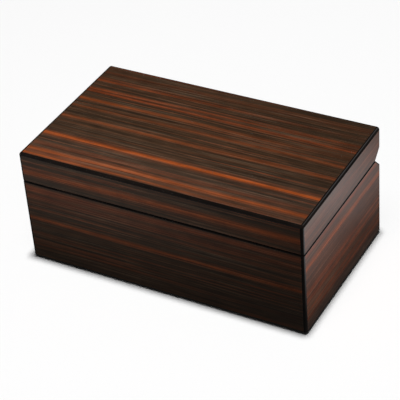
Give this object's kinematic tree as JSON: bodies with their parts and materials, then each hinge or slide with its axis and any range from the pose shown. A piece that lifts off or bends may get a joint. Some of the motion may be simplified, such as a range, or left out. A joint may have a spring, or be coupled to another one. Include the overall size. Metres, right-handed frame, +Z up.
{
  "type": "knife display case",
  "caption": "Lidded wooden display case for folding knives, with a hinged lid, a lift-out tray with padded places and a lower compartment.",
  "frame": {"origin": "on the surface that the case stands on, under the middle of the case", "axes": "+X along the width to the right end, -Y to the front, +Y to the hinged rear, +Z up"},
  "size_m": [0.305, 0.176, 0.1275],
  "materials": {
    "lacquered_board": "black satin-gloss lacquer on fibreboard",
    "striped_veneer": "dark brown striped wood with orange-brown bands under clear gloss",
    "suede_lining": "short-nap suede cloth",
    "tray_wood": "dark stained wood, satin",
    "hinge_brass": "polished brass with light wear",
    "felt": "pressed felt",
    "pull_ribbon": "satin ribbon"
  },
  "bodies": {
    "case_base": {"base_felt": "felt", "base_front_board": "lacquered_board", "base_rear_board": "lacquered_board", "base_left_board": "lacquered_board", "base_right_board": "lacquered_board", "base_floor_board": "lacquered_board", "base_front_veneer": "striped_veneer", "base_rear_veneer": "striped_veneer", "base_left_veneer": "striped_veneer", "base_right_veneer": "striped_veneer", "base_liner_front": "suede_lining", "base_liner_rear": "suede_lining", "base_liner_left": "suede_lining", "base_liner_right": "suede_lining", "base_floor_pad": "suede_lining", "hinge_left_base_leaf": "hinge_brass", "hinge_left_pin": "hinge_brass", "hinge_left_base_screw_1": "hinge_brass", "hinge_left_base_screw_2": "hinge_brass", "hinge_right_base_leaf": "hinge_brass", "hinge_right_pin": "hinge_brass", "hinge_right_base_screw_1": "hinge_brass", "hinge_right_base_screw_2": "hinge_brass"},
    "lid": {"lid_top_board": "lacquered_board", "lid_front_board": "lacquered_board", "lid_rear_board": "lacquered_board", "lid_left_board": "lacquered_board", "lid_right_board": "lacquered_board", "lid_top_veneer": "striped_veneer", "lid_front_veneer": "striped_veneer", "lid_rear_veneer": "striped_veneer", "lid_left_veneer": "striped_veneer", "lid_right_veneer": "striped_veneer", "lid_pad": "suede_lining", "hinge_left_lid_leaf": "hinge_brass", "hinge_left_lid_screw_1": "hinge_brass", "hinge_left_lid_screw_2": "hinge_brass", "hinge_right_lid_leaf": "hinge_brass", "hinge_right_lid_screw_1": "hinge_brass", "hinge_right_lid_screw_2": "hinge_brass"},
    "tray": {"tray_floor": "tray_wood", "tray_front_wall": "tray_wood", "tray_rear_wall": "tray_wood", "tray_left_wall": "tray_wood", "tray_right_wall": "tray_wood", "tray_floor_pad": "suede_lining", "tray_divider_1": "suede_lining", "tray_divider_2": "suede_lining", "tray_divider_3": "suede_lining", "tray_divider_4": "suede_lining", "tray_divider_5": "suede_lining", "tray_divider_6": "suede_lining", "tray_divider_7": "suede_lining", "tray_pull_left": "pull_ribbon", "tray_pull_right": "pull_ribbon"}
  },
  "joints": [
    {"name": "lid_hinge", "type": "hinge", "parent": "case_base", "child": "lid", "pos_m": [0, 0.0765, 0.0942], "axis": [-1, 0, 0], "range_deg": [0, 88]},
    {"name": "tray_lift", "type": "slide", "parent": "case_base", "child": "tray", "axis": [0, 0, 1], "range_m": [0, 0.018]}
  ]
}
